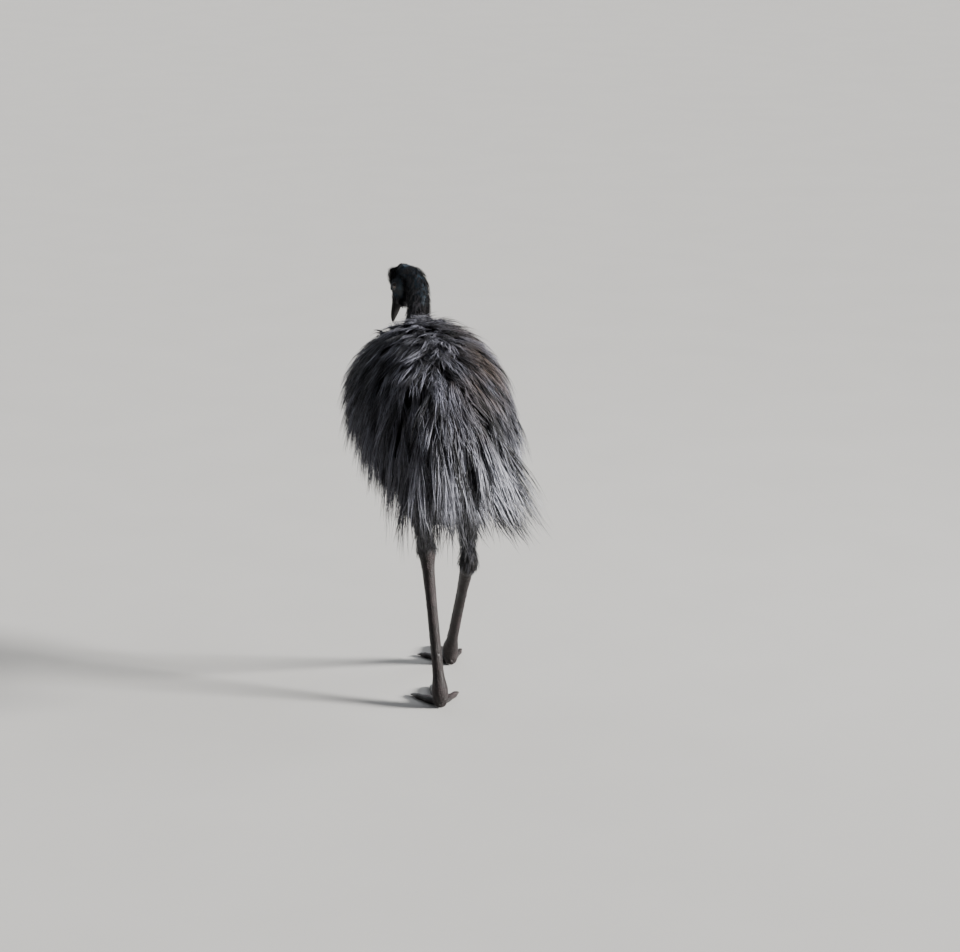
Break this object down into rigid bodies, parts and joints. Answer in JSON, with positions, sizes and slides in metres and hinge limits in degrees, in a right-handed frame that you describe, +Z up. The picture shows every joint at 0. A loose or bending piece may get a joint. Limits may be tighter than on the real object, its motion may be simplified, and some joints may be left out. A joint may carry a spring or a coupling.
{
  "type": "emu",
  "caption": "Life-size still model of an emu walking, with shaggy drooping plumage, an arched neck and a head that hangs and looks to its left.",
  "frame": {"origin": "the middle of the whole bird's box, on the ground it stands on", "axes": "+Z up; the bird faces -Y and its left side is +X"},
  "size_m": [0.4866, 1.257, 1.0426],
  "materials": {
    "plumage": "shaggy grey-brown feathers with dark ends",
    "face_skin": "bare blue skin under sparse black bristles",
    "bill_horn": "smooth dark horn",
    "leg_scale": "dry dark brown scales",
    "claw_horn": "worn black horn",
    "eye": "wet, brown iris round a black pupil"
  },
  "bodies": {
    "root": {"head": "face_skin", "bill_upper": "bill_horn", "bill_lower": "bill_horn", "eye_left": "eye", "eye_right": "eye", "neck_upper": "face_skin", "neck_middle": "plumage", "neck_lower": "plumage", "torso": "plumage", "tail": "plumage", "wing_left": "plumage", "wing_right": "plumage", "shank_left": "plumage", "shank_right": "plumage", "tarsus_left": "leg_scale", "tarsus_right": "leg_scale", "toe_inner_left": "leg_scale", "toe_middle_left": "leg_scale", "toe_outer_left": "leg_scale", "toe_inner_right": "leg_scale", "toe_middle_right": "leg_scale", "toe_outer_right": "leg_scale", "claw_inner_left": "claw_horn", "claw_middle_left": "claw_horn", "claw_outer_left": "claw_horn", "claw_inner_right": "claw_horn", "claw_middle_right": "claw_horn", "claw_outer_right": "claw_horn"}
  },
  "joints": []
}
